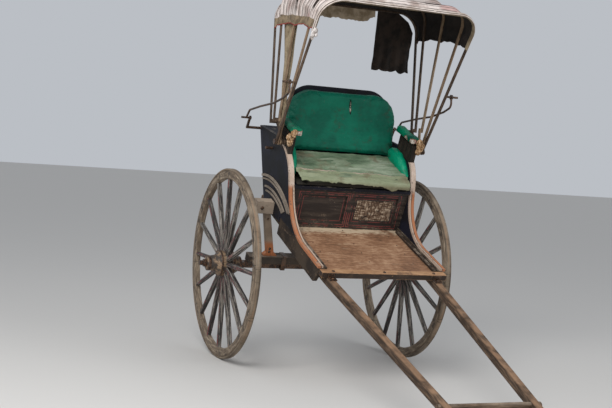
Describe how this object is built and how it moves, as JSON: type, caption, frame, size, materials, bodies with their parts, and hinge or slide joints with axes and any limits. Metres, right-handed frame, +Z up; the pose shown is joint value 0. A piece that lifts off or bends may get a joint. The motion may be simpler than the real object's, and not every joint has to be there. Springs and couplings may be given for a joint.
{
  "type": "hand-pulled rickshaw",
  "caption": "Old hand-pulled rickshaw with spoked wooden wheels, dark body with pale scroll mouldings, folding hood on bent bows and long shafts, parked on its shaft tips.",
  "frame": {"origin": "On the floor, at the middle of the whole vehicle's plan when it is parked on its wheels and shaft tips.", "axes": "+Z is up, -Y is the front where the shafts are, +X is the vehicle's left side."},
  "size_m": [1.4866, 2.7538, 2.1663],
  "materials": {
    "dark_body_paint": "old dark navy and black paint over wood, scuffed and streaked",
    "pale_trim_paint": "white and orange paint on wood, worn and greyed",
    "bare_wood": "bare tan timber, oiled by hands and scuffed",
    "hood_bow_wood": "bent cane and slat wood, greyed",
    "wheel_wood": "dark painted wheel timber with pale wear and thin red lines",
    "solid_tyre": "solid strip tyre, dusty grey",
    "worn_iron": "forged iron, rusted and rubbed",
    "hood_cloth": "striped hood cloth, faded, with a bound edge",
    "curtain_cloth": "dark brown curtain cloth",
    "faded_seat_cloth": "faded grey-green cloth, ragged and stained",
    "green_vinyl": "dark green coated cloth, dented and split"
  },
  "bodies": {
    "frame": {"arch_mouldings_left": "pale_trim_paint", "arch_mouldings_right": "pale_trim_paint", "arm_block_left": "bare_wood", "arm_block_right": "bare_wood", "arm_bolster_left": "green_vinyl", "arm_bolster_right": "green_vinyl", "arm_pad_left": "green_vinyl", "arm_pad_right": "green_vinyl", "axle": "worn_iron", "axle_bed": "pale_trim_paint", "back_panel": "dark_body_paint", "backrest_board": "dark_body_paint", "backrest_cushion": "green_vinyl", "bearer": "pale_trim_paint", "floor_boards": "bare_wood", "front_bar": "bare_wood", "hood_pin_left": "worn_iron", "hood_pin_right": "worn_iron", "moulding_left": "pale_trim_paint", "moulding_right": "pale_trim_paint", "post_left": "pale_trim_paint", "post_right": "pale_trim_paint", "rear_shelf": "bare_wood", "seat_board": "bare_wood", "seat_cushion": "faded_seat_cloth", "seat_front": "dark_body_paint", "shaft_clamp_left": "worn_iron", "shaft_clamp_right": "worn_iron", "shaft_crossbar": "bare_wood", "shaft_left": "bare_wood", "shaft_right": "bare_wood", "side_lugs_left": "worn_iron", "side_lugs_right": "worn_iron", "side_panel_left": "dark_body_paint", "side_panel_right": "dark_body_paint", "sill_left": "dark_body_paint", "sill_right": "dark_body_paint"},
    "wheel_left": {"wheel_nave_left": "wheel_wood", "wheel_spokes_left": "wheel_wood", "wheel_felloe_left": "wheel_wood", "wheel_tyre_left": "solid_tyre"},
    "wheel_right": {"wheel_nave_right": "wheel_wood", "wheel_spokes_right": "wheel_wood", "wheel_felloe_right": "wheel_wood", "wheel_tyre_right": "solid_tyre"},
    "hood_1": {"hood_bow_1": "hood_bow_wood", "rear_curtain": "curtain_cloth"},
    "hood_2": {"hood_bow_2": "hood_bow_wood", "hood_cloth_1": "hood_cloth"},
    "hood_3": {"hood_bow_3": "hood_bow_wood", "hood_cloth_2": "hood_cloth"},
    "hood_4": {"hood_bow_4": "hood_bow_wood", "hood_cloth_3": "hood_cloth"},
    "hood_5": {"hood_bow_5": "hood_bow_wood", "hood_cloth_4": "hood_cloth"},
    "stay_left": {"hood_stay_left": "worn_iron"},
    "stay_right": {"hood_stay_right": "worn_iron"}
  },
  "joints": [
    {"name": "wheel_left_turn", "type": "hinge", "parent": "frame", "child": "wheel_left", "pos_m": [0.589, 0.8269, 0.55], "axis": [1, 0, 0], "continuous": true},
    {"name": "wheel_right_turn", "type": "hinge", "parent": "frame", "child": "wheel_right", "pos_m": [-0.589, 0.8269, 0.55], "axis": [1, 0, 0], "continuous": true},
    {"name": "hood_fold", "type": "hinge", "parent": "frame", "child": "hood_1", "pos_m": [0, 0.48537, 1.27491], "axis": [1, 0, 0], "range_deg": [-50, 0], "deforming": ["rear_curtain"]},
    {"name": "hood_fold_2", "type": "hinge", "parent": "hood_1", "child": "hood_2", "pos_m": [0, 0.48537, 1.27491], "axis": [1, 0, 0], "range_deg": [-4, 0], "deforming": ["hood_cloth_1"]},
    {"name": "hood_fold_3", "type": "hinge", "parent": "hood_2", "child": "hood_3", "pos_m": [0, 0.48537, 1.27491], "axis": [1, 0, 0], "range_deg": [-12, 0], "deforming": ["hood_cloth_2"]},
    {"name": "hood_fold_4", "type": "hinge", "parent": "hood_3", "child": "hood_4", "pos_m": [0, 0.48537, 1.27491], "axis": [1, 0, 0], "range_deg": [-12, 0], "deforming": ["hood_cloth_3"]},
    {"name": "hood_fold_5", "type": "hinge", "parent": "hood_4", "child": "hood_5", "pos_m": [0, 0.48537, 1.27491], "axis": [1, 0, 0], "range_deg": [-4, 0], "deforming": ["hood_cloth_4"]},
    {"name": "stay_left_swing", "type": "hinge", "parent": "hood_5", "child": "stay_left", "pos_m": [0.498, 0.26052, 1.59723], "axis": [1, 0, 0], "range_deg": [0, 117]},
    {"name": "stay_right_swing", "type": "hinge", "parent": "hood_5", "child": "stay_right", "pos_m": [-0.498, 0.26052, 1.59723], "axis": [1, 0, 0], "range_deg": [0, 117]}
  ],
  "couplings": [
    {"joint": "hood_fold_2", "follows": "hood_fold", "ratio": 0.08},
    {"joint": "hood_fold_3", "follows": "hood_fold", "ratio": 0.24},
    {"joint": "hood_fold_4", "follows": "hood_fold", "ratio": 0.24},
    {"joint": "hood_fold_5", "follows": "hood_fold", "ratio": 0.08},
    {"joint": "stay_left_swing", "follows": "hood_fold", "ratio": -2.34},
    {"joint": "stay_right_swing", "follows": "hood_fold", "ratio": -2.34}
  ]
}
